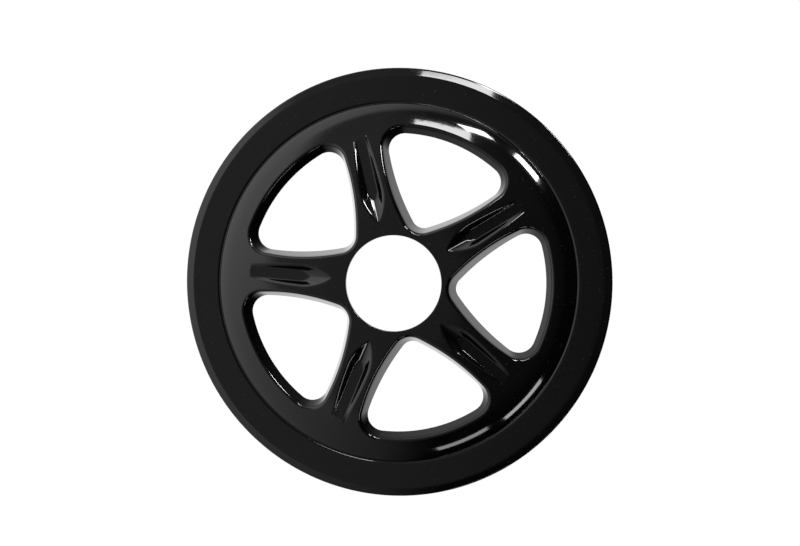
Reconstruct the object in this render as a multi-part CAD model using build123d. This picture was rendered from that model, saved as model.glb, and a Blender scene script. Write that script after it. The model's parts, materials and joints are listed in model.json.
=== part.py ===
from build123d import *
import os
from math import cos, radians, sin, sqrt, tan

# Chain guard disc, moulded in one piece. Millimetres, axis on Z: the back of the flange lies on
# Z = 0, the front faces +Z, and one spoke points along +Y.

# Disc and flange
outer_diameter = 186.0      # reaches past the chain on a 42-tooth ring
flange_width = 14.6         # flat rim, from the outer edge in to the crease
flange_thickness = 2.5
bevel_width = 3.4           # sloping band round the outer edge
bevel_drop = 1.05
bevel_blend = 3.0           # soft line between flange and bevel
edge_chamfer = 0.5          # outer edge of the bevel
crease_blend = 0.7          # small hollow where the dome meets the flange

# Domed web
hub_height = 13.0           # front of the hub above the back of the flange
hub_land = 8.0              # flat ring round the bore
shoulder_width = 6.0        # steeper band inside the crease
shoulder_rise = 2.9         # height of that band
web_thickness = 2.3

# Bore for the crank
bore_diameter = 41.0
bore_chamfer = 0.35

# Windows between the spokes, measured at the back edge of their skirts
spoke_count = 5
ring_width = 13.6           # crease to the rim side of a window
hub_width = 5.6             # bore to the hub end of a window
spoke_width = 19.8          # at the waist of a spoke
window_side_radius = 100.0  # bow of a window's long sides
window_rim_corner = 7.0
window_hub_corner = 5.4
wall_draft = 12.5           # degrees, the windows widen towards the front
rim_draft = 25.0            # the same on their rim side
skirt_base = 1.2            # back edge of the skirts above the back of the flange
skirt_thickness = 1.8
lip_chamfer = 0.9           # broken front edge of a window

# Boat-shaped scoop in each spoke
scoop_tip_gap = 5.9         # bore to the pointed end
scoop_length = 36.8         # pointed end to where the floor runs out on the dome
scoop_ramp = 10.3           # keel from the pointed end down to the floor
scoop_nose = 4.0            # the floor widens over this length
scoop_depth = 3.0           # below the hub, at the foot of the ramp
scoop_floor_width = 4.8
scoop_wall_slope = 37.0     # degrees from vertical
scoop_lip_chamfer = 0.5

# Screw bosses on the back, one behind each spoke
screw_circle = 130.0
boss_diameter = 9.0
screw_hole_diameter = 4.2
screw_hole_depth = 5.0

# Cutting shapes reach this far past the faces they cut, and shapes that touch are this close
margin = 2.0
touch = 0.001

outer_radius = outer_diameter / 2
bore_radius = bore_diameter / 2
crease_radius = outer_radius - flange_width
shoulder_radius = crease_radius - shoulder_width
hub_flat_radius = bore_radius + hub_land
window_rim_radius = crease_radius - ring_width
scoop_tip_radius = bore_radius + scoop_tip_gap
scoop_end_radius = scoop_tip_radius + scoop_length
spoke_pitch = 360.0 / spoke_count
first_spoke = 90.0
first_window = first_spoke + spoke_pitch / 2


def round_the_axis(shape, first_angle):
    return [Rot(0, 0, first_angle + spoke_pitch * i) * shape for i in range(spoke_count)]


def dome_arcs(inset):
    # Two tangent arcs from the hub's flat down to the crease, moved inwards along their normals
    level = Vector(1, 0)
    hub_edge = Vector(hub_flat_radius, hub_height)
    shoulder = Vector(shoulder_radius, flange_thickness + shoulder_rise)
    crease = Vector(crease_radius, flange_thickness)
    dome = TangentArc(hub_edge, shoulder, tangent=level)
    flank = TangentArc(shoulder, crease, tangent=dome % 1)

    def inset_point(point, direction):
        return point + Vector(direction.Y, -direction.X) * inset

    start = inset_point(hub_edge, level)
    middle = inset_point(shoulder, dome % 1)
    end = inset_point(crease, flank % 1)
    return TangentArc(start, middle, tangent=level), TangentArc(middle, end, tangent=dome % 1)


def corner_near(face, point):
    return face.vertices().sort_by_distance(point)[0]


def disc_blank():
    # Solid disc with the finished front, still full behind the dome
    dome, flank = dome_arcs(0)
    crease = flank @ 1
    bore_edge = (bore_radius, hub_height)
    bevel_start = (outer_radius - bevel_width, flange_thickness)
    bevel_end = (outer_radius, flange_thickness - bevel_drop)
    rest = Polyline(crease, bevel_start, bevel_end, (outer_radius, 0), (bore_radius, 0), bore_edge, dome @ 0)
    profile = make_face([dome, flank] + rest.edges())
    profile = fillet(corner_near(profile, crease), crease_blend)
    profile = fillet(corner_near(profile, bevel_start), bevel_blend)
    profile = chamfer(corner_near(profile, bevel_end), edge_chamfer)
    profile = chamfer(corner_near(profile, bore_edge), bore_chamfer)
    return revolve(Plane.XZ * profile, Axis.Z)


def dome_hollow():
    # Space behind the web, before anything stands in it
    dome, flank = dome_arcs(web_thickness)
    foot = flank @ 1
    rest = Polyline(foot, (foot.X, -margin), (0, -margin), (0, hub_height - web_thickness), dome @ 0)
    return revolve(Plane.XZ * make_face([dome, flank] + rest.edges()), Axis.Z)


def window_outline(growth, rim_growth):
    # The window along +X is where three discs overlap, with rounded corners
    half_pitch = radians(spoke_pitch / 2)
    corner_centre = bore_radius + hub_width + window_hub_corner
    side_offset = window_side_radius + spoke_width / 2
    reach = window_side_radius - window_hub_corner
    waist = corner_centre * cos(half_pitch) + sqrt(
        reach**2 - (side_offset - corner_centre * sin(half_pitch)) ** 2
    )
    centre_x = waist * cos(half_pitch) + side_offset * sin(half_pitch)
    centre_y = side_offset * cos(half_pitch) - waist * sin(half_pitch)
    side = Circle(window_side_radius + growth)
    outline = Circle(window_rim_radius + rim_growth)
    outline = outline & Pos(centre_x, centre_y) * side & Pos(centre_x, -centre_y) * side
    rim_corners = outline.vertices().sort_by(Axis.X)[1:]
    outline = fillet(rim_corners, window_rim_corner + growth)
    hub_corner = outline.vertices().sort_by(Axis.X)[0]
    return fillet(hub_corner, window_hub_corner + growth)


def window_column(growth):
    # Drafted column from the back edge of a skirt out through the front
    height = hub_height + margin - skirt_base
    spread = height * tan(radians(wall_draft))
    rim_spread = height * tan(radians(rim_draft))
    back = Pos(0, 0, skirt_base) * window_outline(growth, growth)
    front = Pos(0, 0, skirt_base + height) * window_outline(growth + spread, growth + rim_spread)
    return loft([back, front], ruled=True)


def boat_outline(tip, full, end):
    # Pointed at the tip, bowed to full width, then straight to a square end
    bow = TangentArc(full, tip, tangent=full - end)
    rest = Polyline(full, end, (end.X, -end.Y), (full.X, -full.Y))
    return make_face([bow] + mirror(bow, Plane.XZ).edges() + rest.edges())


def boat(drop, growth):
    # The scoop's shape along +X, lowered by drop and widened by growth on each side
    foot_radius = scoop_tip_radius + scoop_ramp
    far_radius = scoop_end_radius + margin
    dome_radius = dome_arcs(0)[0].radius
    end_drop = dome_radius - sqrt(dome_radius**2 - (scoop_end_radius - hub_flat_radius) ** 2)
    fall = (end_drop - scoop_depth) / (scoop_end_radius - foot_radius)
    slant = sqrt(1 + fall**2)
    foot_height = hub_height - scoop_depth - drop
    top_height = hub_height + margin
    floor_half = scoop_floor_width / 2 + growth

    def top_point(radius):
        floor_height = foot_height - fall * (radius - foot_radius)
        half = floor_half + tan(radians(scoop_wall_slope)) * (top_height - floor_height)
        return Vector(radius, half)

    floor_plane = Plane((foot_radius, 0, foot_height), x_dir=(1, 0, -fall), z_dir=(fall, 0, 1))
    floor = boat_outline(
        Vector(0, 0),
        Vector(scoop_nose * slant, floor_half),
        Vector((far_radius - foot_radius) * slant, floor_half),
    )
    top_tip = Vector(foot_radius - (top_height - foot_height) * scoop_ramp / scoop_depth, 0)
    top = boat_outline(top_tip, top_point(foot_radius + scoop_nose), top_point(far_radius))
    return loft([floor_plane * floor, Pos(0, 0, top_height) * top], ruled=True)


def scoop_backing():
    # The web follows the scoop on the back, one wall further down
    slope = radians(scoop_wall_slope)
    return boat(web_thickness, web_thickness * (1 / cos(slope) - tan(slope)))


def breakthrough_edges(part, blank, cutters):
    # Edges where the cutters came out through the skin of the blank
    skin = blank.shell()

    def on_both(edge):
        middle = Vertex(*(edge @ 0.5))
        return skin.distance_to(middle) < touch and any(c.distance_to(middle) < touch for c in cutters)

    return part.edges().filter_by(on_both)


def beside_the_scoop(edge):
    # Not the edge across the end, where the floor runs out on the dome
    middle = edge @ 0.5
    return Vector(middle.X, middle.Y).length < scoop_end_radius - margin


def guard_disc():
    blank = disc_blank()
    columns = round_the_axis(window_column(0), first_window)
    below = extrude(Pos(0, 0, -margin) * window_outline(0, 0), margin + skirt_base)
    body = blank - columns - round_the_axis(below, first_window)
    body = chamfer(breakthrough_edges(body, blank, columns), lip_chamfer)

    lipped = body
    scoops = round_the_axis(boat(0, 0), first_spoke)
    body = lipped - scoops
    lips = breakthrough_edges(body, lipped, scoops)
    body = chamfer(lips.filter_by(beside_the_scoop), scoop_lip_chamfer)

    boss = Pos(screw_circle / 2, 0, hub_height / 2) * Cylinder(boss_diameter / 2, hub_height)
    screw_hole = Pos(screw_circle / 2, 0) * Cylinder(screw_hole_diameter / 2, 2 * screw_hole_depth)
    kept = round_the_axis(window_column(skirt_thickness), first_window)
    kept += round_the_axis(scoop_backing(), first_spoke)
    kept += round_the_axis(boss, first_spoke)
    body = body - (dome_hollow() - kept)
    return body - round_the_axis(screw_hole, first_spoke)


os.makedirs("parts", exist_ok=True)
export_step(guard_disc().solid(), "parts/guard_disc.step")
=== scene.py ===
import json
from math import acos, asin, atan2, ceil, cos, hypot, pi, radians, sin, sqrt, tan

import bmesh
import bpy
import numpy as np
from mathutils import Matrix, Vector
from mathutils.geometry import delaunay_2d_cdt


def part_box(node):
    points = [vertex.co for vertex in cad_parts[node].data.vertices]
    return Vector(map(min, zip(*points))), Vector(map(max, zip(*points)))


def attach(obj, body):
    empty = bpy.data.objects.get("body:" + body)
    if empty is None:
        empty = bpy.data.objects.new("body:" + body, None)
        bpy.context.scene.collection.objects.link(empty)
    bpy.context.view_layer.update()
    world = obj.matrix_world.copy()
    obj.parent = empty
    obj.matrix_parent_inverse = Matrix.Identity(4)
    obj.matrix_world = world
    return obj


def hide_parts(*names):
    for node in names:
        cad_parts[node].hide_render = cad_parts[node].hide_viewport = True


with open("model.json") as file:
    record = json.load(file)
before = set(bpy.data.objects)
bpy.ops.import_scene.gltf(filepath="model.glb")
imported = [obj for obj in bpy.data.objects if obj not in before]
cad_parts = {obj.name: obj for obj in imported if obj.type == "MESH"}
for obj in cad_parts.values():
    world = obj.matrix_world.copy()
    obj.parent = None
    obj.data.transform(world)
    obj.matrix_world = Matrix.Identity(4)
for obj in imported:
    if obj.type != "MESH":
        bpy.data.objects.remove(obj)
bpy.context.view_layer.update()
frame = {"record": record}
discLow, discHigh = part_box("guard_disc")
print("frame loaded, disc from", tuple(discLow), "to", tuple(discHigh))

mm = 0.001
mounts = {m["name"]: m["dims"] for m in frame["record"]["mounts"]}

# the moulded disc, in millimetres
disc = {
    "outerRadius": min(*discHigh.xy, *-discLow.xy) / mm,
    "hubHeight": discHigh.z / mm,
    "boreRadius": mounts["crank_bore"]["r_mm"],
    "spokes": mounts["ring_screws"]["count"],
    "flangeWidth": 14.6,  # from the outer edge in to the crease
    "flangeThickness": 2.5,
    "bevelWidth": 3.4,
    "bevelDrop": 1.05,
    "bevelRound": 3.0,  # soft line between flange and bevel
    "edgeRound": 0.5,
    "hubLand": 8.0,  # flat ring round the bore
    "shoulderWidth": 6.0,  # steeper band inside the crease
    "shoulderRise": 2.9,
    "web": 2.3,
    "boreRound": 0.35,
}

halfPitch = pi / disc["spokes"]
firstWindow = pi / 2 - halfPitch  # one spoke points along +Y
creaseRadius = disc["outerRadius"] - disc["flangeWidth"]
shoulderRadius = creaseRadius - disc["shoulderWidth"]
shoulderHeight = disc["flangeThickness"] + disc["shoulderRise"]
hubFlatRadius = disc["boreRadius"] + disc["hubLand"]

# the web's section is two tangent arcs: the dome, then the steeper flank down to the crease
domeRun = shoulderRadius - hubFlatRadius
domeFall = disc["hubHeight"] - shoulderHeight
domeArc = (domeRun**2 + domeFall**2) / (2 * domeFall)
domeCentre = np.array([hubFlatRadius, disc["hubHeight"] - domeArc])
shoulderSlope = asin(domeRun / domeArc)
inward = np.array([-sin(shoulderSlope), -cos(shoulderSlope)])
flankChord = np.array([creaseRadius - shoulderRadius, disc["flangeThickness"] - shoulderHeight])
flankArc = flankChord @ flankChord / (2 * flankChord @ inward)
flankCentre = np.array([shoulderRadius, shoulderHeight]) + flankArc * inward

# how closely the mesh follows the shapes, in millimetres and degrees
plan = {
    "spacing": 1.15,  # between the points that fill the web
    "lineStep": 0.5,  # between points on the lines that its triangles follow
    "clear": 0.6,  # share of the spacing left free beside those lines
    "merge": 1e-5,
    "weld": 0.002,  # half sectors join where their points are this near
    "crispAngle": 38,  # an edge that bends more than this is not smoothed
    "probe": 0.05,  # a slope is taken over this far to either side
    "match": 0.001,  # a point this near the front's height lies on the front
    "facing": 0.3,  # and its face looks up at least this much
    "halvings": 40,  # to find a height or a line
    "meetings": 16,  # to find where a wall meets the web
}


def webHeight(radius, inset=0.0):
    # height of the web's front, or of the surface that lies inset below it
    domeReach, flankReach = domeArc - inset, flankArc - inset
    join = domeCentre[0] + domeReach * sin(shoulderSlope)
    run = np.maximum(radius - domeCentre[0], 0)
    dome = domeCentre[1] + np.sqrt(np.maximum(domeReach**2 - run**2, 0))
    flank = flankCentre[1] + np.sqrt(np.maximum(flankReach**2 - (radius - flankCentre[0]) ** 2, 0))
    return np.where(radius < join, dome, flank)


def softMin(a, b, softness):
    # the lower of two heights, rounded over where they are within softness of each other
    near = np.maximum(softness - np.abs(a - b), 0) / softness
    return np.minimum(a, b) - near**2 * softness / 4


# boat-shaped scoop in each spoke, along its axis from the hub outwards
scoop = {
    "tipGap": 5.9,  # bore to the pointed end
    "length": 36.8,
    "ramp": 10.3,  # keel from the pointed end down to the floor
    "nose": 4.0,  # the floor widens over this length
    "depth": 3.0,
    "floorWidth": 4.8,
    "wallSlope": 37.0,  # degrees from upright
    "lipRound": 1.6,
    "leastSoftness": 0.02,
    "mostSoftness": 2.0,
    "floorSoftness": 0.6,
    "keelSoftness": 0.3,
    "under": 1.0,  # the sides are followed this far below the foot of the ramp
    "before": 4.0,  # lines in the mesh start this far inside the tip,
    "beyond": 6.0,  # end this far past the run-out
    "reach": 9.0,  # and lie within this of the axis
    "lipLines": (-1.5, -1, -0.75, -0.5, -0.25, 0, 0.25, 0.5, 0.75, 1, 1.5),
    "floorLines": (-1, -0.5, 0, 0.5, 1),
    "keelLines": (0.15, 0.35, 0.7),
}
tipRadius = disc["boreRadius"] + scoop["tipGap"]
footRadius = tipRadius + scoop["ramp"]
fullRadius = footRadius + scoop["nose"]
runoutRadius = tipRadius + scoop["length"]
runoutDrop = disc["hubHeight"] - webHeight(runoutRadius)
floorFall = (runoutDrop - scoop["depth"]) / (runoutRadius - footRadius)


def boatSurfaces(along, across, drop=0.0, growth=0.0):
    # heights of the boat's side and floor: level outlines are a pointed bow, then straight sides
    foot = disc["hubHeight"] - scoop["depth"] - drop
    under = foot - scoop["under"]
    spread = tan(radians(scoop["wallSlope"]))
    half = scoop["floorWidth"] / 2 + growth
    across = np.hypot(across, scoop["keelSoftness"])
    floor = foot - floorFall * (along - footRadius)
    low, high = np.full_like(along, under), np.full_like(along, foot + disc["hubHeight"])
    for halving in range(plan["halvings"]):
        level = (low + high) / 2
        bowTip = footRadius - (level - foot) * scoop["ramp"] / scoop["depth"]
        bowHalf = half + spread * (level - foot + floorFall * scoop["nose"])
        bowLength = fullRadius - bowTip
        bowArc = (bowLength**2 + bowHalf**2) / (2 * bowHalf)
        back = np.minimum(fullRadius - along, bowLength)
        width = bowHalf - bowArc + np.sqrt(np.maximum(bowArc**2 - back**2, 0))
        outside = (across > width) | (along < bowTip)
        low, high = np.where(outside, level, low), np.where(outside, high, level)
    side = np.where(along < fullRadius, (low + high) / 2, floor + (across - half) / spread)
    return side, np.where(along < footRadius, under, floor)


def boatHeight(along, across, drop=0.0, growth=0.0):
    side, floor = boatSurfaces(along, across, drop, growth)
    return -softMin(-side, -floor, scoop["floorSoftness"])


def lipSoftness(along, across):
    # softness that gives the scoop's lip one radius, by how steeply its two surfaces part
    def parting(a, c):
        return boatHeight(a, c) - webHeight(np.hypot(a, c))

    step = plan["probe"]
    slope = np.hypot(
        parting(along + step, across) - parting(along - step, across),
        parting(along, across + step) - parting(along, across - step),
    ) / (2 * step)
    return np.clip(scoop["lipRound"] * slope**2 / 2, scoop["leastSoftness"], scoop["mostSoftness"])


def spokeAxes(x, y):
    # along and across the spoke that lies half a pitch from the window's middle line, and back again
    return x * cos(halfPitch) + y * sin(halfPitch), x * sin(halfPitch) - y * cos(halfPitch)


def toPlan(line):
    return [spokeAxes(along, across) for along, across in line]


def frontHeight(x, y):
    along, across = spokeAxes(x, y)
    return softMin(webHeight(np.hypot(x, y)), boatHeight(along, across), lipSoftness(along, across))


# behind the scoop the web follows at an even thickness
wallLean = radians(scoop["wallSlope"])
backing = {"drop": disc["web"], "growth": disc["web"] * (1 / cos(wallLean) - tan(wallLean))}


def backHeight(x, y):
    along, across = spokeAxes(x, y)
    return np.minimum(webHeight(np.hypot(x, y), disc["web"]), boatHeight(along, across, **backing))


# window between two spokes: its outline is a convex loop of arcs, told by the way their normals point
window = {
    "ringWidth": 13.6,  # crease to the rim side
    "hubWidth": 5.6,  # bore to the hub end
    "spokeWidth": 19.8,
    "sideRadius": 100.0,
    "rimCorner": 7.0,
    "hubCorner": 5.4,
    "draft": 12.5,  # degrees, the walls lean outwards to the front
    "rimDraft": 25.0,
    "skirtBase": 1.2,
    "skirt": 1.8,
    "lipRound": 1.5,
    "hubSteps": 14,
    "sideSteps": 52,
    "cornerSteps": 22,
    "rimSteps": 30,
    "lipRows": 8,
    "wallRows": 4,
}


def windowOutline(growth, rimGrowth):
    # points and normals from the hub end round one side to the middle of the rim side
    rimRadius = creaseRadius - window["ringWidth"]
    hub = np.array([disc["boreRadius"] + window["hubWidth"] + window["hubCorner"], 0.0])
    offset = window["sideRadius"] + window["spokeWidth"] / 2
    reach = window["sideRadius"] - window["hubCorner"]
    waist = hub[0] * cos(halfPitch) + sqrt(reach**2 - (offset - hub[0] * sin(halfPitch)) ** 2)
    side = np.array(spokeAxes(waist, offset))
    toRim = rimRadius + rimGrowth - window["rimCorner"] - growth
    toSide = window["sideRadius"] - window["rimCorner"]
    gap = hypot(*side)
    heading = atan2(side[1], side[0]) + acos((toRim**2 + gap**2 - toSide**2) / (2 * toRim * gap))
    corner = toRim * np.array([cos(heading), sin(heading)])
    sideStart = atan2(*(hub - side)[::-1])
    sideEnd = atan2(*(corner - side)[::-1])
    arcs = [
        (hub, window["hubCorner"] + growth, pi, sideStart, window["hubSteps"]),
        (side, window["sideRadius"] + growth, sideStart, sideEnd, window["sideSteps"]),
        (corner, window["rimCorner"] + growth, sideEnd, heading, window["cornerSteps"]),
        (np.zeros(2), rimRadius + rimGrowth, heading, 0.0, window["rimSteps"]),
    ]
    points, normals = [], []
    for centre, radius, start, end, count in arcs:
        angles = np.linspace(start, end, count + 1)[(1 if points else 0):]
        normals.append(np.stack([np.cos(angles), np.sin(angles)], 1))
        points.append(centre + radius * normals[-1])
    return np.vstack(points), np.vstack(normals)


def windowWall(growth):
    # foot of the drafted wall, its run up to the level of the hub, and its normal into the window
    rise = disc["hubHeight"] - window["skirtBase"]
    foot, footWay = windowOutline(growth, growth)
    top, topWay = windowOutline(
        growth + rise * tan(radians(window["draft"])),
        growth + rise * tan(radians(window["rimDraft"])),
    )
    run = np.column_stack([top - foot, np.full(len(foot), rise)])
    foot = np.column_stack([foot, np.full(len(foot), window["skirtBase"])])
    way = footWay + topWay
    along = np.column_stack([-way[:, 1], way[:, 0], np.zeros(len(foot))])
    normal = np.cross(run, along)
    return foot, run, normal / np.linalg.norm(normal, axis=1)[:, None]


def wallBelow(inset, wall, ball=0.0):
    # where the wall, or a ball's centre rolling on its inner side, meets the surface inset below the web
    foot, run, normal = wall
    share = np.full((len(foot), 1), 0.5)
    for meeting in range(plan["meetings"]):
        place = foot + share * run - ball * normal
        height = webHeight(np.hypot(place[:, 0], place[:, 1]), inset)
        share += ((height - place[:, 2]) / run[:, 2])[:, None]
    return foot + share * run - ball * normal


def rowsBetween(start, end, count):
    return [start + (end - start) * share for share in np.linspace(0, 1, count + 1)[1:]]


def windowRows():
    # rows of one window half, from the end of the lip on the web, down the wall, round the skirt to its root
    inner, outer = windowWall(0.0), windowWall(window["skirt"])
    ball = window["lipRound"]
    centre = wallBelow(ball, inner, ball)
    radius = np.hypot(centre[:, 0], centre[:, 1])
    slope = np.arcsin(np.clip((radius - domeCentre[0]) / (domeArc - ball), 0, 1))
    toWeb = np.column_stack([centre[:, :2] / radius[:, None] * np.sin(slope)[:, None], np.cos(slope)])
    toWall = inner[2]
    angle = np.arccos(np.clip(np.sum(toWeb * toWall, 1), -1, 1))[:, None]
    rows = []
    for share in np.linspace(0, 1, window["lipRows"] + 1):
        way = (np.sin((1 - share) * angle) * toWeb + np.sin(share * angle) * toWall) / np.sin(angle)
        rows.append(centre + ball * way)
    rows += rowsBetween(rows[-1], inner[0], window["wallRows"])
    rows += rowsBetween(inner[0], outer[0], 1)
    return rows + rowsBetween(outer[0], wallBelow(disc["web"], outer), window["wallRows"])


def arcPoints(centre, radius, start, end, count):
    angles = np.linspace(radians(start), radians(end), count + 1)
    return [(centre[0] + radius * cos(a), centre[1] + radius * sin(a)) for a in angles]


# fine groove along the crease, which draws a thin line of light: a steep wall, a round floor, a soft rise
groove = {
    "root": 1.1,  # the dome's flank ends this far inside the crease
    "floor": 0.35,  # and the floor's middle lies this far inside it
    "depth": 0.3,
    "floorRound": 0.4,
    "wall": 60.0,  # degrees
    "rise": 27.6,
    "edgeRound": 1.2,
}
rim = {
    "ringStart": 71.0,  # radius at which the rim's rows meet the web's triangles
    "columns": 36,
    "flankRows": 14,
    "roundRows": 6,
    "flangeRows": 8,
    "bevelRows": 6,
    "backRows": 6,
}


def rimSection():
    # section of the rim as (radius, height), from the web's front over the flange to the web's back
    outer, top = disc["outerRadius"], disc["flangeThickness"]
    flank = np.linspace(rim["ringStart"], creaseRadius - groove["root"], rim["flankRows"])
    section = [(r, float(webHeight(r))) for r in flank]

    ball, down = groove["floorRound"], 270
    floorCentre = (creaseRadius - groove["floor"], top - groove["depth"] + ball)
    section += arcPoints(floorCentre, ball, down - groove["wall"], down + groove["rise"], rim["roundRows"])

    ball, rise, up = groove["edgeRound"], radians(groove["rise"]), 90
    climb = top - section[-1][1] - ball * (1 - cos(rise))
    edgeRadius = section[-1][0] + climb / tan(rise) + ball * sin(rise)
    section += arcPoints((edgeRadius, top - ball), ball, up + groove["rise"], up, rim["roundRows"])

    ball, tilt = disc["bevelRound"], atan2(disc["bevelDrop"], disc["bevelWidth"])
    blendRadius = outer - disc["bevelWidth"] - ball * tan(tilt / 2)
    section += [(r, top) for r in np.linspace(edgeRadius, blendRadius, rim["flangeRows"])[1:-1]]
    section += arcPoints((blendRadius, top - ball), ball, up, up - np.degrees(tilt), rim["roundRows"])

    ball = disc["edgeRound"]
    edgeCentre = (outer - ball, top - disc["bevelDrop"] + ball * tan(tilt) - ball / cos(tilt))
    edgeRows = arcPoints(edgeCentre, ball, up - np.degrees(tilt), 0, rim["roundRows"])
    bevel = rowsBetween(np.array(section[-1]), np.array(edgeRows[0]), rim["bevelRows"])[:-1]
    section += [tuple(point) for point in bevel] + edgeRows

    rootRadius = flankCentre[0] + (flankArc - disc["web"]) * (creaseRadius - flankCentre[0]) / flankArc
    section += [(r, 0.0) for r in np.linspace(outer, rootRadius, rim["backRows"])]
    inside = np.linspace(rootRadius, rim["ringStart"], rim["flankRows"])
    return section + [(r, float(webHeight(r, disc["web"]))) for r in inside]


bore = {"columns": 22, "roundRows": 4}


def boreSection():
    edge = disc["boreRound"]
    centre = (disc["boreRadius"] + edge, disc["hubHeight"] - edge)
    foot = (disc["boreRadius"], disc["hubHeight"] - disc["web"])
    return arcPoints(centre, edge, 90, 180, bore["roundRows"]) + [foot]


def ringPoints(radius, columns):
    angles = np.linspace(0, halfPitch, columns + 1)
    return list(zip(radius * np.cos(angles), radius * np.sin(angles)))


def sweepSection(section, columns):
    return [np.column_stack([ringPoints(r, columns), np.full(columns + 1, z)]) for r, z in section]


def levelLines(difference, levels):
    # lines in the plan of a spoke on which a height difference has the given values
    along = np.arange(tipRadius - scoop["before"], runoutRadius + scoop["beyond"], plan["lineStep"])
    lines = []
    for level in levels:
        low, high = np.zeros_like(along), np.full_like(along, scoop["reach"])
        for halving in range(plan["halvings"]):
            middle = (low + high) / 2
            over = difference(along, middle) > level
            low, high = np.where(over, low, middle), np.where(over, middle, high)
        inside = difference(along, np.zeros_like(along)) < level
        lines.append([(a, c) for a, c, keep in zip(along, low, inside) if keep])
    return lines


def insideLoop(points, loop):
    found = np.zeros(len(points), bool)
    for (x0, y0), (x1, y1) in zip(loop, np.roll(loop, -1, 0)):
        crosses = (y0 > points[:, 1]) != (y1 > points[:, 1])
        if y0 != y1:
            found ^= crosses & (points[:, 0] < (x1 - x0) * (points[:, 1] - y0) / (y1 - y0) + x0)
    return found


def planMesh(loop, lines, height):
    # triangles that fill a loop of the plan and follow the lines in it, lifted to their height
    loop = np.array(loop)
    fixed = [loop] + [np.array(line) for line in lines if len(line) > 1]
    edges = [(i, (i + 1) % len(loop)) for i in range(len(loop))]
    count = len(loop)
    for line in fixed[1:]:
        edges += [(count + i, count + i + 1) for i in range(len(line) - 1)]
        count += len(line)
    fixed = np.vstack(fixed)
    step = plan["spacing"]
    x, y = np.meshgrid(
        np.arange(loop[:, 0].min(), loop[:, 0].max(), step),
        np.arange(loop[:, 1].min(), loop[:, 1].max(), step * sqrt(3) / 2),
    )
    x[1::2] += step / 2  # every other row is shifted, for even triangles
    grid = np.column_stack([x.ravel(), y.ravel()])
    grid = grid[insideLoop(grid, loop)]
    near = np.min(np.hypot(*(grid[:, None] - fixed[None]).transpose(2, 0, 1)), 1)
    points = [Vector(p) for p in np.vstack([fixed, grid[near > plan["clear"] * step]])]
    insideOnly = 1  # the kind of result that leaves out what lies outside the loop
    found, _, faces, *_ = delaunay_2d_cdt(points, edges, [], insideOnly, plan["merge"])
    flat = np.array([tuple(p) for p in found])
    return np.column_stack([flat, height(flat[:, 0], flat[:, 1])]), [tuple(f) for f in faces]


mesh = {"verts": [], "faces": []}


def addPatch(points, faces):
    start = len(mesh["verts"])
    mesh["verts"] += [tuple(p) for p in points]
    mesh["faces"] += [tuple(i + start for i in face) for face in faces]


def addRows(rows):
    wide = len(rows[0])
    faces = [
        (j * wide + i, j * wide + i + 1, (j + 1) * wide + i + 1, (j + 1) * wide + i)
        for j in range(len(rows) - 1)
        for i in range(wide - 1)
    ]
    addPatch(np.vstack(rows), faces)


windowHalf = windowRows()
addRows(windowHalf)
addRows(sweepSection(rimSection(), rim["columns"]))
addRows(sweepSection(boreSection(), bore["columns"]))


def axisPoints(start, end):
    # points on the spoke's axis between two radii, both ends left out
    count = ceil(abs(start - end) / plan["lineStep"])
    return toPlan([(r, 0.0) for r in np.linspace(start, end, count + 1)[1:-1]])


def lipDifference(along, across):
    web = webHeight(np.hypot(along, across))
    return (boatHeight(along, across) - web) / lipSoftness(along, across)


def floorDifference(along, across):
    side, floor = boatSurfaces(along, across)
    return (side - floor) / scoop["floorSoftness"]


# front of the web, with lines along the scoop's lips, floor edges and keel
boreEdge = disc["boreRadius"] + disc["boreRound"]
frontLoop = ringPoints(rim["ringStart"], rim["columns"])
frontLoop += axisPoints(rim["ringStart"], boreEdge)
frontLoop += ringPoints(boreEdge, bore["columns"])[::-1]
frontLoop += [tuple(p) for p in windowHalf[0][:, :2]]
keelRadii = np.arange(tipRadius, footRadius, plan["lineStep"])
spokeLines = levelLines(lipDifference, scoop["lipLines"])
spokeLines += levelLines(floorDifference, scoop["floorLines"])
spokeLines += [[(radius, across) for radius in keelRadii] for across in scoop["keelLines"]]
addPatch(*planMesh(frontLoop, [toPlan(line) for line in spokeLines], frontHeight))

# screw boss behind each spoke, one half of it
boss = {
    "circle": mounts["ring_screws"]["pcd_mm"] / 2,
    "radius": 4.5,
    "holeRadius": mounts["ring_screws"]["hole_r_mm"],
    "holeDepth": 5.0,
    "columns": 20,
    "rowHeights": (1, 0.67, 0.33, 0),  # shares of the way up to the web
}


def bossArc(radius):
    turns = np.linspace(0, pi, boss["columns"] + 1)
    return toPlan(list(zip(boss["circle"] + radius * np.cos(turns), radius * np.sin(turns))))


bossEdge = np.array(bossArc(boss["radius"]))
bossTop = backHeight(bossEdge[:, 0], bossEdge[:, 1])
bossRows = [np.column_stack([bossEdge, bossTop * share]) for share in boss["rowHeights"]]
holeSection = [(boss["holeRadius"], 0.0), (boss["holeRadius"], boss["holeDepth"]), (0.0, boss["holeDepth"])]
for radius, height in holeSection:
    bossRows.append(np.column_stack([bossArc(radius), np.full(boss["columns"] + 1, height)]))
addRows(bossRows)

# back of the web, round the boss
backLoop = ringPoints(rim["ringStart"], rim["columns"])
backLoop += axisPoints(rim["ringStart"], boss["circle"] + boss["radius"])
backLoop += [tuple(p) for p in bossEdge]
backLoop += axisPoints(boss["circle"] - boss["radius"], disc["boreRadius"])
backLoop += ringPoints(disc["boreRadius"], bore["columns"])[::-1]
backLoop += [tuple(p) for p in windowHalf[-1][:, :2]]
addPatch(*planMesh(backLoop, [], backHeight))
print("half sector", len(mesh["verts"]), "points", len(mesh["faces"]), "faces")


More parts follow.
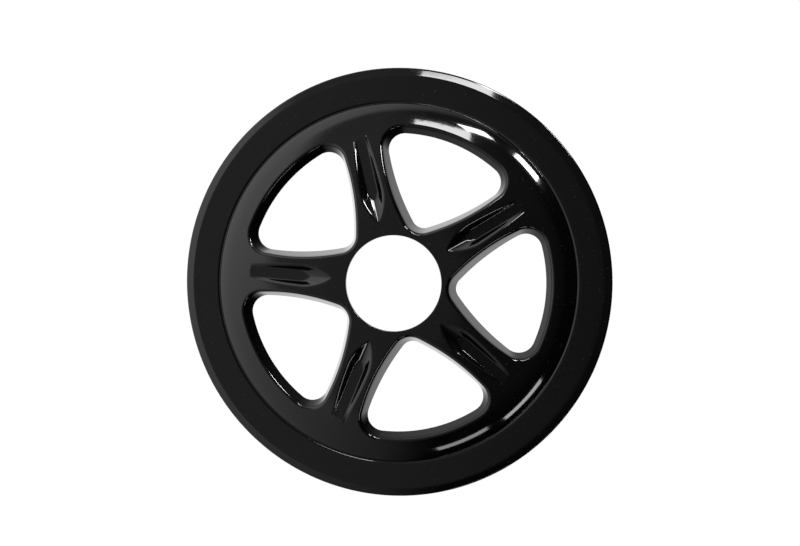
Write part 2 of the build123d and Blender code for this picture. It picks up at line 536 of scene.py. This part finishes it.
def addNode(tree, kind, settings=None, links=None):
    # one node, with its properties and socket values set and its inputs linked
    node = tree.nodes.new(kind)
    for key, value in (settings or {}).items():
        if isinstance(key, str) and hasattr(node, key) and key not in node.inputs:
            setattr(node, key, value)
        else:
            node.inputs[key].default_value = value
    for key, socket in (links or {}).items():
        tree.links.new(socket, node.inputs[key])
    return node


def discTree():
    # a half sector and its mirror image, set round the axis once for each spoke
    tree = bpy.data.node_groups.new("discPattern", "GeometryNodeTree")
    inputKinds = {
        "Geometry": "NodeSocketGeometry",
        "Spokes": "NodeSocketInt",
        "First Window": "NodeSocketFloat",
        "Weld": "NodeSocketFloat",
        "Crisp Angle": "NodeSocketFloat",
        "Material": "NodeSocketMaterial",
    }
    for name, kind in inputKinds.items():
        tree.interface.new_socket(name, in_out="INPUT", socket_type=kind)
    tree.interface.new_socket("Geometry", in_out="OUTPUT", socket_type="NodeSocketGeometry")
    given = addNode(tree, "NodeGroupInput").outputs

    image = addNode(tree, "GeometryNodeTransform", {"Scale": (1, -1, 1)}, {"Geometry": given["Geometry"]})
    image = addNode(tree, "GeometryNodeFlipFaces", {}, {"Mesh": image.outputs[0]})
    sector = addNode(tree, "GeometryNodeJoinGeometry", {}, {0: given["Geometry"]})
    tree.links.new(image.outputs[0], sector.inputs[0])

    seats = addNode(tree, "GeometryNodePoints", {}, {"Count": given["Spokes"]})
    index = addNode(tree, "GeometryNodeInputIndex")
    pitch = addNode(tree, "ShaderNodeMath", {"operation": "DIVIDE", 0: 2 * pi}, {1: given["Spokes"]})
    angle = addNode(tree, "ShaderNodeMath", {"operation": "MULTIPLY_ADD"}, {
        0: index.outputs[0],
        1: pitch.outputs[0],
        2: given["First Window"],
    })
    turn = addNode(tree, "ShaderNodeCombineXYZ", {}, {"Z": angle.outputs[0]})
    placed = addNode(tree, "GeometryNodeInstanceOnPoints", {}, {
        "Points": seats.outputs[0],
        "Instance": sector.outputs[0],
        "Rotation": turn.outputs[0],
    })

    whole = addNode(tree, "GeometryNodeRealizeInstances", {}, {"Geometry": placed.outputs[0]})
    whole = addNode(tree, "GeometryNodeMergeByDistance", {}, {
        "Geometry": whole.outputs[0],
        "Distance": given["Weld"],
    })
    whole = addNode(tree, "GeometryNodeSetShadeSmooth", {"Shade Smooth": True}, {
        "Geometry": whole.outputs[0],
    })
    bend = addNode(tree, "GeometryNodeInputMeshEdgeAngle")
    crisp = addNode(tree, "FunctionNodeCompare", {"data_type": "FLOAT", "operation": "GREATER_THAN"}, {
        0: bend.outputs["Unsigned Angle"],
        1: given["Crisp Angle"],
    })
    whole = addNode(tree, "GeometryNodeSetShadeSmooth", {"domain": "EDGE", "Shade Smooth": False}, {
        "Geometry": whole.outputs[0],
        "Selection": crisp.outputs[0],
    })
    whole = addNode(tree, "GeometryNodeSetMaterial", {}, {
        "Geometry": whole.outputs[0],
        "Material": given["Material"],
    })
    addNode(tree, "NodeGroupOutput", {}, {0: whole.outputs[0]})
    return tree


def linear(code):
    # sRGB hex to linear red, green, blue, alpha
    parts = [int(code[i:i + 2], 16) / 255 for i in (1, 3, 5)]
    return [c / 12.92 if c <= 0.04045 else ((c + 0.055) / 1.055) ** 2.4 for c in parts] + [1.0]


# black ABS from a polished mould: a deep mirror gloss that ripples faintly where the melt has shrunk,
# with slow changes from bright to a little duller along the flow, and stray pale specks of dust,
# which are drawn coarser than real ones so that they show; sizes in millimetres
plastic = {
    "colour": "#040404",
    "speckColour": "#1e1e1e",
    "speckSize": 1.1,
    "speckFrom": 0.66,  # only the peaks of the noise are specks
    "speckTo": 0.74,
    "flowSize": 9.0,
    "leastRoughness": 0.05,
    "mostRoughness": 0.075,
    "rippleSize": 3.0,
    "rippleHeight": 0.004,
    "refraction": 1.53,
}
blackAbs = bpy.data.materials.new("blackAbsMoulded")
blackAbs.use_nodes = True
skinNodes = blackAbs.node_tree
shader = skinNodes.nodes["Principled BSDF"]
shader.inputs["IOR"].default_value = plastic["refraction"]
spot = addNode(skinNodes, "ShaderNodeTexCoord").outputs["Object"]

specks = addNode(skinNodes, "ShaderNodeTexNoise", {
    "Scale": 1 / (plastic["speckSize"] * mm),
}, {"Vector": spot})
dusty = addNode(skinNodes, "ShaderNodeMapRange", {
    "From Min": plastic["speckFrom"],
    "From Max": plastic["speckTo"],
}, {"Value": specks.outputs["Fac"]})
cleanSocket, dustySocket, tintSocket = 6, 7, 2  # a Mix node's sockets for colour go by number
tint = addNode(skinNodes, "ShaderNodeMix", {
    "data_type": "RGBA",
    cleanSocket: linear(plastic["colour"]),
    dustySocket: linear(plastic["speckColour"]),
}, {0: dusty.outputs["Result"]})
skinNodes.links.new(tint.outputs[tintSocket], shader.inputs["Base Color"])

flow = addNode(skinNodes, "ShaderNodeTexNoise", {
    "Scale": 1 / (plastic["flowSize"] * mm),
}, {"Vector": spot})
gloss = addNode(skinNodes, "ShaderNodeMapRange", {
    "To Min": plastic["leastRoughness"],
    "To Max": plastic["mostRoughness"],
}, {"Value": flow.outputs["Fac"]})
skinNodes.links.new(gloss.outputs["Result"], shader.inputs["Roughness"])

ripple = addNode(skinNodes, "ShaderNodeTexNoise", {
    "Scale": 1 / (plastic["rippleSize"] * mm),
    "Detail": 0.0,
}, {"Vector": spot})
bump = addNode(skinNodes, "ShaderNodeBump", {
    "Distance": plastic["rippleHeight"] * mm,
}, {"Height": ripple.outputs["Fac"]})
skinNodes.links.new(bump.outputs["Normal"], shader.inputs["Normal"])
print("material", blackAbs.name)


def polishFront(data):
    # normals of the front follow its height and not the triangles, so that highlights run evenly
    place = np.empty(len(data.vertices) * 3)
    data.vertices.foreach_get("co", place)
    place = place.reshape(-1, 3) / mm
    radius = np.hypot(place[:, 0], place[:, 1])
    turn = np.arctan2(place[:, 1], place[:, 0]) - firstWindow
    whole = np.round(turn / (2 * halfPitch)) * 2 * halfPitch
    x, y = radius * np.cos(turn - whole), radius * np.abs(np.sin(turn - whole))
    front = (radius > boreEdge) & (radius < rim["ringStart"])
    front[front] = np.abs(frontHeight(x[front], y[front]) - place[front, 2]) < plan["match"]
    x, y, step = x[front], y[front], plan["probe"]
    slopeX = (frontHeight(x + step, y) - frontHeight(x - step, y)) / (2 * step)
    slopeY = (frontHeight(x, y + step) - frontHeight(x, y - step)) / (2 * step)
    slopeY *= np.where(turn[front] < whole[front], -1, 1)
    spin = whole[front] + firstWindow
    way = np.column_stack([
        slopeY * np.sin(spin) - slopeX * np.cos(spin),
        -slopeX * np.sin(spin) - slopeY * np.cos(spin),
        np.ones(len(x)),
    ])
    smooth = np.zeros_like(place)
    smooth[front] = way / np.linalg.norm(way, axis=1)[:, None]
    corner = np.empty(len(data.loops), int)
    data.loops.foreach_get("vertex_index", corner)
    normal = np.empty(len(data.loops) * 3)
    data.corner_normals.foreach_get("vector", normal)
    normal = normal.reshape(-1, 3)
    polished = front[corner] & (normal[:, 2] > plan["facing"])
    normal[polished] = smooth[corner[polished]]
    data.normals_split_custom_set(normal.tolist())
    return int(polished.sum())


halfSector = bpy.data.meshes.new("discHalfSector")
halfSector.from_pydata([tuple(np.array(v) * mm) for v in mesh["verts"]], [], mesh["faces"])
discPiece = bpy.data.objects.new("mouldedDisc", halfSector)
bpy.context.scene.collection.objects.link(discPiece)
tree = discTree()
pattern = discPiece.modifiers.new("pattern", "NODES")
pattern.node_group = tree
patternInputs = {
    "Spokes": int(disc["spokes"]),
    "First Window": firstWindow,
    "Weld": plan["weld"] * mm,
    "Crisp Angle": radians(plan["crispAngle"]),
    "Material": blackAbs,
}
for item in tree.interface.items_tree:
    if item.in_out == "INPUT" and item.name in patternInputs:
        pattern[item.identifier] = patternInputs[item.name]
graph = bpy.context.evaluated_depsgraph_get()
whole = bpy.data.meshes.new_from_object(discPiece.evaluated_get(graph))
discPiece.modifiers.remove(pattern)
discPiece.data = whole

skin = bmesh.new()
skin.from_mesh(whole)
bmesh.ops.recalc_face_normals(skin, faces=skin.faces)
triangles = sum(len(f.verts) - 2 for f in skin.faces)
openEdges = sum(len(e.link_faces) != 2 for e in skin.edges)
volume = round(skin.calc_volume(signed=True) / mm**3)
print("disc", len(skin.verts), "points,", triangles, "triangles,", openEdges, "open edges,", volume, "mm3")
skin.to_mesh(whole)
skin.free()
print("front polished at", polishFront(whole), "corners")
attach(discPiece, "root")
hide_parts("guard_disc")

# camera: nearly overhead, the spoke on +Y turned to the left of upright in the picture
shot = {
    "tilt": 6.48,
    "bearing": 0.95,
    "roll": 13.4,
    "distance": 0.620,
    "aimHeight": 0.00145,
    "focalPixels": 1428.5,
    "width": 800,
    "height": 546,
    "centreX": 396.2,  # where the point aimed at lies in the picture
    "centreY": 282.67,
    "sensor": 36,
}
tilt, bearing, roll = (radians(shot[k]) for k in ("tilt", "bearing", "roll"))
toCamera = Vector((sin(tilt) * cos(bearing), sin(tilt) * sin(bearing), cos(tilt)))
right = Vector((sin(roll), cos(roll), 0)).cross(toCamera).normalized()
stand = Matrix((right, toCamera.cross(right), toCamera)).transposed().to_4x4()
stand.translation = Vector((0, 0, shot["aimHeight"])) + toCamera * shot["distance"]
camera = bpy.data.objects.new("camera", bpy.data.cameras.new("camera"))
bpy.context.scene.collection.objects.link(camera)
camera.matrix_world = stand
camera.data.sensor_width = shot["sensor"]
camera.data.lens = shot["focalPixels"] / shot["width"] * shot["sensor"]
camera.data.shift_x = (shot["width"] / 2 - shot["centreX"]) / shot["width"]
camera.data.shift_y = (shot["centreY"] - shot["height"] / 2) / shot["width"]
bpy.context.scene.camera = camera
print("camera", round(camera.data.lens, 1), "mm lens at", tuple(round(v, 3) for v in stand.translation))

# plain pale floor: it glows, to be as white as studio paper, and stays out of the reflections
ground = {"size": 6, "drop": 0.0002, "colour": "#202020", "glowColour": "#ffffff", "glow": 1.0}
bpy.ops.mesh.primitive_plane_add(size=ground["size"], location=(0, 0, -ground["drop"]))
floor = bpy.context.object
floor.name = "floor"
paleFloor = bpy.data.materials.new("paleFloor")
paleFloor.use_nodes = True
paleShader = paleFloor.node_tree.nodes["Principled BSDF"]
paleShader.inputs["Base Color"].default_value = linear(ground["colour"])
paleShader.inputs["Specular IOR Level"].default_value = 0.0
paleShader.inputs["Emission Color"].default_value = linear(ground["glowColour"])
paleShader.inputs["Emission Strength"].default_value = ground["glow"]
floor.data.materials.append(paleFloor)
floor.visible_glossy = False
print("floor", ground["size"], "m wide")

# soft boxes, told by the way they lie in the picture, their angle from straight up and their spin
boxDistance = 1.0
softBoxes = {
    "topBox": {"bearing": 80.5, "tilt": 41, "spin": 0, "wide": 0.26, "high": 0.115, "glow": 17},
    "topStrip": {"bearing": 67.7, "tilt": 50, "spin": 42, "wide": 0.19, "high": 0.085, "glow": 45},
    "upperRightBox": {"bearing": 44.7, "tilt": 54.7, "spin": 0, "wide": 0.168, "high": 0.129, "glow": 60},
    "lowerRightBox": {"bearing": 311.7, "tilt": 55.5, "spin": 4, "wide": 0.27, "high": 0.09, "glow": 8},
    "lowerBox": {"bearing": 286, "tilt": 54, "spin": 8, "wide": 0.267, "high": 0.095, "glow": 5},
}


def fromSky(bearing, tilt):
    # the way to a place in the room, by its bearing in the picture and its angle from straight up
    heading, lean = radians(bearing) - roll, radians(tilt)
    return Vector((sin(lean) * cos(heading), sin(lean) * sin(heading), cos(lean)))


for name, box in softBoxes.items():
    lamp = bpy.data.objects.new(name, bpy.data.lights.new(name, "AREA"))
    bpy.context.scene.collection.objects.link(lamp)
    lamp.data.shape = "RECTANGLE"
    lamp.data.size, lamp.data.size_y = box["wide"], box["high"]
    lamp.data.energy = box["glow"] * pi * box["wide"] * box["high"]
    way = fromSky(box["bearing"], box["tilt"])
    level = Vector((0, 0, 1)).cross(way).normalized()
    facing = Matrix((level, way.cross(level), way)).transposed()
    turned = facing @ Matrix.Rotation(radians(box["spin"]), 3, "Z")
    lamp.matrix_world = Matrix.Translation(way * boxDistance) @ turned.to_4x4()
print("soft boxes", ", ".join(softBoxes))

# the room: walls lit from one side and open to a dim ceiling, over a pale table that glows straight below;
# each shade grows from least to most as the view turns towards its bearing and tilt
room = {
    "wallLight": {"bearing": 146, "tilt": 95, "start": -0.65, "end": 2.23, "least": 0.0, "most": 2.44},
    "upperCove": {"bearing": 174, "tilt": 168, "start": -0.6, "end": -0.48, "least": 0.18, "most": 1.0},
    "leftCove": {"bearing": 200, "tilt": 150, "start": -0.54, "end": -0.4, "least": 0.18, "most": 1.0},
    "horizon": {"bearing": 0, "tilt": 0, "start": -0.1, "end": 0.1, "least": 0.3, "most": 1.0},
    "leftFill": {"bearing": 179, "tilt": 90, "start": -0.1, "end": 0.22, "least": 0.0, "most": 0.17},
    "table": {"bearing": 0, "tilt": 180, "start": 0.6, "end": 1.0, "least": 0.0, "most": 0.9},
    "ceiling": {"bearing": 0, "tilt": 0, "start": 0.72, "end": 0.82, "least": 0.0, "most": 0.05},
}
world = bpy.data.worlds.new("studio")
bpy.context.scene.world = world
world.use_nodes = True
sky = world.node_tree
look = addNode(sky, "ShaderNodeTexCoord").outputs["Generated"]
shades = {}
for name, side in room.items():
    towards = addNode(sky, "ShaderNodeVectorMath", {
        "operation": "DOT_PRODUCT",
        1: fromSky(side["bearing"], side["tilt"]),
    }, {0: look})
    shades[name] = addNode(sky, "ShaderNodeMapRange", {
        "interpolation_type": "SMOOTHSTEP",
        "From Min": side["start"],
        "From Max": side["end"],
        "To Min": side["least"],
        "To Max": side["most"],
    }, {"Value": towards.outputs["Value"]}).outputs["Result"]

# the walls are lit up to the coves and dimmer below the horizon, and the other shades are added to them
glow = addNode(sky, "ShaderNodeMath", {"operation": "MAXIMUM"}, {
    0: shades["upperCove"],
    1: shades["leftCove"],
})
for name in ("wallLight", "horizon"):
    glow = addNode(sky, "ShaderNodeMath", {"operation": "MULTIPLY"}, {0: glow.outputs[0], 1: shades[name]})
for name in ("leftFill", "table", "ceiling"):
    glow = addNode(sky, "ShaderNodeMath", {"operation": "ADD"}, {0: glow.outputs[0], 1: shades[name]})
sky.links.new(glow.outputs[0], sky.nodes["Background"].inputs["Strength"])
sky.nodes["Background"].inputs["Color"].default_value = linear("#ffffff")
bpy.context.scene.view_settings.view_transform = "Standard"
print("room", ", ".join(room))
